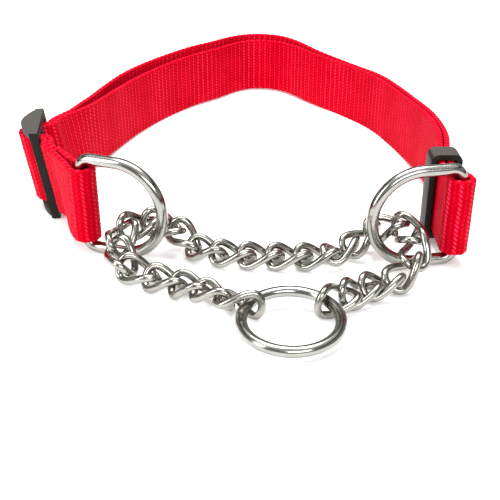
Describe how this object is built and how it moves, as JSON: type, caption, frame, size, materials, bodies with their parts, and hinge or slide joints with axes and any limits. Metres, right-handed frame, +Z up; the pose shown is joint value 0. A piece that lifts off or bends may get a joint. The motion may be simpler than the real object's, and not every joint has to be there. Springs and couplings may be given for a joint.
{
  "type": "martingale collar",
  "caption": "Flat nylon webbing collar with a slider and keeper, joined through two D-rings by a twist-link control chain that carries a leash ring.",
  "frame": {"origin": "centre of the bounding box's base, on the surface that the collar lies on", "axes": "+Z up across the webbing's width, -Y towards the leash ring, +X towards the keeper"},
  "size_m": [0.145, 0.236, 0.0328],
  "materials": {
    "webbing": "red ribbed nylon webbing, satin sheen",
    "plastic": "black moulded acetal, satin",
    "ring": "polished nickel-plated welded steel wire",
    "chain": "nickel-plated steel wire, tumbled bright"
  },
  "bodies": {
    "webbing": {"strap": "webbing", "strap_left_loop": "webbing", "strap_in_slider": "webbing"},
    "slider": {"slider": "plastic"},
    "keeper": {"keeper": "plastic"},
    "left_d_ring": {"left_d_ring": "ring"},
    "right_d_ring": {"right_d_ring": "ring"},
    "link_01": {"link_01": "chain"},
    "link_02": {"link_02": "chain"},
    "link_03": {"link_03": "chain"},
    "link_04": {"link_04": "chain"},
    "link_05": {"link_05": "chain"},
    "link_06": {"link_06": "chain"},
    "link_07": {"link_07": "chain"},
    "link_08": {"link_08": "chain"},
    "link_09": {"link_09": "chain"},
    "link_10": {"link_10": "chain"},
    "link_11": {"link_11": "chain"},
    "link_12": {"link_12": "chain"},
    "link_13": {"link_13": "chain"},
    "link_14": {"link_14": "chain"},
    "link_15": {"link_15": "chain"},
    "link_16": {"link_16": "chain"},
    "link_17": {"link_17": "chain"},
    "link_18": {"link_18": "chain"},
    "link_19": {"link_19": "chain"},
    "link_20": {"link_20": "chain"},
    "link_21": {"link_21": "chain"},
    "link_22": {"link_22": "chain"},
    "link_23": {"link_23": "chain"},
    "link_24": {"link_24": "chain"},
    "leash_ring": {"leash_ring": "ring"}
  },
  "joints": [
    {"name": "slider_slide", "type": "slide", "parent": "webbing", "child": "slider", "axis": [-0.1392, 0.9903, 0], "range_m": [-0.004, 0.004], "deforming": ["strap_in_slider"]},
    {"name": "keeper_slide", "type": "slide", "parent": "webbing", "child": "keeper", "axis": [0.02, 0.9998, 0], "range_m": [-0.002, 0.002]},
    {"name": "left_d_swing", "type": "hinge", "parent": "webbing", "child": "left_d_ring", "pos_m": [-0.0453, -0.05609, 0.01644], "axis": [0, 0, 1], "range_deg": [-4, 4]},
    {"name": "right_d_swing", "type": "hinge", "parent": "webbing", "child": "right_d_ring", "pos_m": [0.067, -0.06429, 0.01644], "axis": [0, 0, 1], "range_deg": [-4, 4]},
    {"name": "chain_turn", "type": "hinge", "parent": "left_d_ring", "child": "link_07", "pos_m": [-0.03316, -0.06606, 0.00965], "axis": [0, 0, 1], "range_deg": [-4, 4]},
    {"name": "link_08_pivot", "type": "hinge", "parent": "link_07", "child": "link_08", "pos_m": [-0.03222, -0.06206, 0.01077], "axis": [0.996, -0.0895, 0.0052], "range_deg": [-6, 6]},
    {"name": "link_09_pivot", "type": "hinge", "parent": "link_08", "child": "link_09", "pos_m": [-0.02544, -0.0569, 0.01069], "axis": [-0.9871, 0.1602, -0.0067], "range_deg": [-6, 6]},
    {"name": "link_10_pivot", "type": "hinge", "parent": "link_09", "child": "link_10", "pos_m": [-0.0174, -0.05695, 0.00786], "axis": [0.9832, -0.1768, 0.0462], "range_deg": [-6, 6]},
    {"name": "link_11_pivot", "type": "hinge", "parent": "link_10", "child": "link_11", "pos_m": [-0.01153, -0.06175, 0.00402], "axis": [-0.9867, 0.1213, -0.1081], "range_deg": [-6, 6]},
    {"name": "link_12_pivot", "type": "hinge", "parent": "link_11", "child": "link_12", "pos_m": [-0.00404, -0.06577, 0.00407], "axis": [0.9902, -0.069, 0.1216], "range_deg": [-6, 6]},
    {"name": "link_13_pivot", "type": "hinge", "parent": "link_12", "child": "link_13", "pos_m": [0.0044, -0.06693, 0.00379], "axis": [-0.9874, 0.0575, -0.1472], "range_deg": [-6, 6]},
    {"name": "link_14_pivot", "type": "hinge", "parent": "link_13", "child": "link_14", "pos_m": [0.01291, -0.0674, 0.00374], "axis": [0.9824, -0.0577, 0.1778], "range_deg": [-6, 6]},
    {"name": "link_15_pivot", "type": "hinge", "parent": "link_14", "child": "link_15", "pos_m": [0.0214, -0.06799, 0.00386], "axis": [-0.9743, 0.0547, -0.2184], "range_deg": [-6, 6]},
    {"name": "link_16_pivot", "type": "hinge", "parent": "link_15", "child": "link_16", "pos_m": [0.02986, -0.06734, 0.00437], "axis": [0.958, -0.0981, 0.2694], "range_deg": [-6, 6]},
    {"name": "link_17_pivot", "type": "hinge", "parent": "link_16", "child": "link_17", "pos_m": [0.03635, -0.06184, 0.00426], "axis": [-0.8602, 0.3845, -0.335], "range_deg": [-6, 6]},
    {"name": "link_18_pivot", "type": "hinge", "parent": "link_17", "child": "link_18", "pos_m": [0.04314, -0.059, 0.00853], "axis": [0.705, -0.6883, 0.171], "range_deg": [-6, 6]},
    {"name": "link_19_pivot", "type": "hinge", "parent": "link_18", "child": "link_19", "pos_m": [0.05039, -0.06224, 0.01161], "axis": [-0.4508, 0.8914, 0.0459], "range_deg": [-4, 4]},
    {"name": "link_06_pivot", "type": "hinge", "parent": "link_07", "child": "link_06", "pos_m": [-0.03411, -0.07006, 0.00853], "axis": [0.9995, 0.0026, 0.0305], "range_deg": [-36, 4]},
    {"name": "link_05_pivot", "type": "hinge", "parent": "link_06", "child": "link_05", "pos_m": [-0.03062, -0.07724, 0.00554], "axis": [-0.994, -0.0868, -0.0666], "range_deg": [-6, 6]},
    {"name": "link_04_pivot", "type": "hinge", "parent": "link_05", "child": "link_04", "pos_m": [-0.02275, -0.08003, 0.00378], "axis": [0.9868, 0.1307, 0.0954], "range_deg": [-6, 6]},
    {"name": "link_03_pivot", "type": "hinge", "parent": "link_04", "child": "link_03", "pos_m": [-0.01498, -0.08354, 0.00361], "axis": [-0.9753, -0.1931, -0.1072], "range_deg": [-6, 6]},
    {"name": "link_02_pivot", "type": "hinge", "parent": "link_03", "child": "link_02", "pos_m": [-0.00807, -0.08845, 0.00455], "axis": [0.9531, 0.2849, 0.102], "range_deg": [-6, 6]},
    {"name": "link_01_pivot", "type": "hinge", "parent": "link_02", "child": "link_01", "pos_m": [-0.00144, -0.09382, 0.00486], "axis": [-0.9134, -0.3935, -0.1043], "range_deg": [-6, 6]},
    {"name": "leash_ring_pivot", "type": "hinge", "parent": "link_01", "child": "leash_ring", "pos_m": [0.00659, -0.09668, 0.00474], "axis": [0.8651, 0.4875, 0.1177], "range_deg": [-20, 6]},
    {"name": "link_24_pivot", "type": "hinge", "parent": "leash_ring", "child": "link_24", "pos_m": [0.02537, -0.09577, 0.00473], "axis": [-0.7337, -0.6592, -0.1649], "range_deg": [-6, 6]},
    {"name": "link_23_pivot", "type": "hinge", "parent": "link_24", "child": "link_23", "pos_m": [0.03225, -0.09075, 0.00439], "axis": [0.7068, 0.6725, 0.2195], "range_deg": [-6, 6]},
    {"name": "link_22_pivot", "type": "hinge", "parent": "link_23", "child": "link_22", "pos_m": [0.0389, -0.08544, 0.00375], "axis": [-0.6631, -0.6752, -0.3231], "range_deg": [-6, 6]},
    {"name": "link_21_pivot", "type": "hinge", "parent": "link_22", "child": "link_21", "pos_m": [0.04671, -0.08204, 0.00367], "axis": [0.4643, 0.7534, 0.4657], "range_deg": [-6, 6]},
    {"name": "link_20_pivot", "type": "hinge", "parent": "link_21", "child": "link_20", "pos_m": [0.05264, -0.07735, 0.00758], "axis": [0.1882, 0.8835, 0.429], "range_deg": [-6, 6]}
  ],
  "couplings": [
    {"joint": "right_d_swing", "follows": "left_d_swing", "ratio": -1},
    {"joint": "chain_turn", "follows": "left_d_swing", "ratio": -1}
  ]
}
